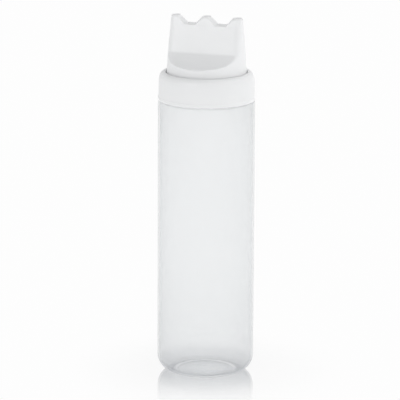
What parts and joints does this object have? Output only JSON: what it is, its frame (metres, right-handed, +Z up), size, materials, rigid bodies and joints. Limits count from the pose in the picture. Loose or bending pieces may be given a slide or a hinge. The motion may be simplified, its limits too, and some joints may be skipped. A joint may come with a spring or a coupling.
{
  "type": "squeeze bottle",
  "caption": "Tall round squeeze bottle for sauces: clear body, screw collar and a white head with small dispensing tips in a row that flips back on a rear hinge.",
  "frame": {"origin": "centre of the bottle's foot, on the surface it stands on", "axes": "+Z up along the bottle, tips in a row along X, flat front of the head towards -Y, hinge at +Y"},
  "size_m": [0.07, 0.07, 0.2619],
  "materials": {
    "natural_plastic": "clear, slightly milky soft polyethylene",
    "milky_plastic": "translucent white polypropylene, satin",
    "silicone": "translucent soft silicone",
    "steel": "stainless steel wire"
  },
  "bodies": {
    "bottle": {"bottle": "natural_plastic"},
    "gasket": {"mouth_gasket": "silicone"},
    "collar": {"screw_collar": "milky_plastic", "hinge_pin": "steel"},
    "head": {"nozzle_head": "milky_plastic", "head_seal": "silicone"}
  },
  "joints": [
    {"name": "cap_lift", "type": "slide", "parent": "bottle", "child": "gasket", "axis": [0, 0, 1], "range_m": [0, 0.005]},
    {"name": "cap_turn", "type": "hinge", "parent": "gasket", "child": "collar", "pos_m": [0, 0, 0.2], "axis": [0, 0, 1], "range_deg": [0, 450]},
    {"name": "head_flip", "type": "hinge", "parent": "collar", "child": "head", "pos_m": [0, 0.03115, 0.2218], "axis": [-1, 0, 0], "range_deg": [0, 115]}
  ],
  "couplings": [
    {"joint": "cap_lift", "follows": "cap_turn", "m_per_rad": 0.0006366}
  ]
}
